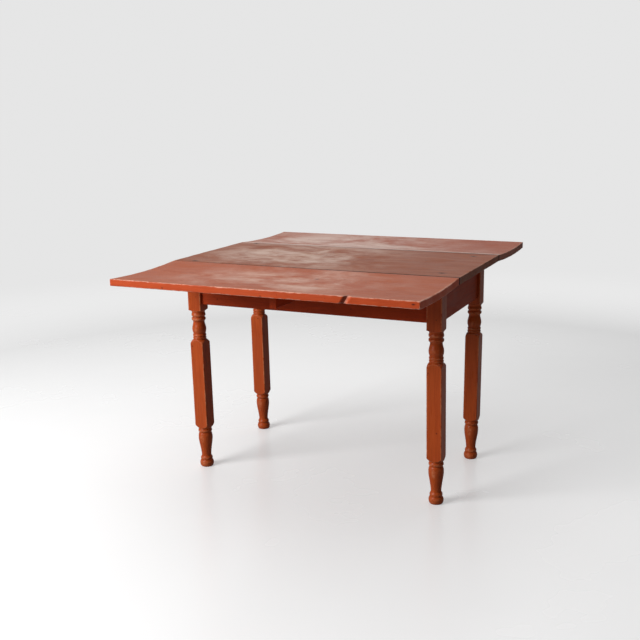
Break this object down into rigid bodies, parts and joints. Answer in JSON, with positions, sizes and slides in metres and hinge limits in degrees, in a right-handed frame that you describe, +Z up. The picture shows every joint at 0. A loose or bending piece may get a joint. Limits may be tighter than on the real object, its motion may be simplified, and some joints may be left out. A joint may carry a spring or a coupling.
{
  "type": "drop leaf table",
  "caption": "Painted wooden table with a fixed middle board, a hinged drop leaf on each long side, a swinging prop under each leaf, and turned legs joined by plain rails.",
  "frame": {"origin": "middle of the footprint of the raised top, at the floor", "axes": "+Z up; X along the boards, parallel to the hinged joints, +X to the right end; +Y from the near leaf to the far leaf"},
  "size_m": [1.025, 1.2, 0.75],
  "materials": {
    "board_paint": "worn satin paint, terracotta red",
    "leg_paint": "satin paint, orange red",
    "rail_paint": "satin paint, dark red",
    "iron": "dull, dark",
    "screw_steel": "dulled steel"
  },
  "bodies": {
    "table_frame": {"centre_board": "board_paint", "near_left_leg": "leg_paint", "near_right_leg": "leg_paint", "far_right_leg": "leg_paint", "far_left_leg": "leg_paint", "near_long_rail": "rail_paint", "far_long_rail": "rail_paint", "left_end_rail": "rail_paint", "right_end_rail": "rail_paint", "near_left_hinge_board_plate": "iron", "near_left_hinge_pin": "iron", "near_left_hinge_board_screw_left": "screw_steel", "near_left_hinge_board_screw_right": "screw_steel", "near_left_board_nail": "iron", "near_right_hinge_board_plate": "iron", "near_right_hinge_pin": "iron", "near_right_hinge_board_screw_left": "screw_steel", "near_right_hinge_board_screw_right": "screw_steel", "near_right_board_nail": "iron", "far_right_hinge_board_plate": "iron", "far_right_hinge_pin": "iron", "far_right_hinge_board_screw_left": "screw_steel", "far_right_hinge_board_screw_right": "screw_steel", "far_right_board_nail": "iron", "far_left_hinge_board_plate": "iron", "far_left_hinge_pin": "iron", "far_left_hinge_board_screw_left": "screw_steel", "far_left_hinge_board_screw_right": "screw_steel", "far_left_board_nail": "iron"},
    "near_leaf": {"near_leaf_board": "board_paint", "near_prop_screw": "screw_steel", "near_left_hinge_leaf_plate": "iron", "near_left_hinge_leaf_screw_left": "screw_steel", "near_left_hinge_leaf_screw_right": "screw_steel", "near_right_hinge_leaf_plate": "iron", "near_right_hinge_leaf_screw_left": "screw_steel", "near_right_hinge_leaf_screw_right": "screw_steel"},
    "near_prop": {"near_leaf_prop": "rail_paint"},
    "far_leaf": {"far_leaf_board": "board_paint", "far_prop_screw": "screw_steel", "far_right_hinge_leaf_plate": "iron", "far_right_hinge_leaf_screw_left": "screw_steel", "far_right_hinge_leaf_screw_right": "screw_steel", "far_left_hinge_leaf_plate": "iron", "far_left_hinge_leaf_screw_left": "screw_steel", "far_left_hinge_leaf_screw_right": "screw_steel"},
    "far_prop": {"far_leaf_prop": "rail_paint"}
  },
  "joints": [
    {"name": "near_leaf_drop", "type": "hinge", "parent": "table_frame", "child": "near_leaf", "pos_m": [0, -0.245, 0.7223], "axis": [1, 0, 0], "range_deg": [0, 86]},
    {"name": "far_leaf_drop", "type": "hinge", "parent": "table_frame", "child": "far_leaf", "pos_m": [0, 0.245, 0.7223], "axis": [-1, 0, 0], "range_deg": [0, 86]},
    {"name": "near_prop_swing", "type": "hinge", "parent": "near_leaf", "child": "near_prop", "pos_m": [0, -0.445, 0.69], "axis": [0, 0, 1], "range_deg": [0, 120.4]},
    {"name": "far_prop_swing", "type": "hinge", "parent": "far_leaf", "child": "far_prop", "pos_m": [0, 0.445, 0.69], "axis": [0, 0, 1], "range_deg": [0, 120.4]}
  ],
  "couplings": [
    {"joint": "near_prop_swing", "follows": "near_leaf_drop", "ratio": 1.4},
    {"joint": "far_prop_swing", "follows": "far_leaf_drop", "ratio": 1.4}
  ]
}
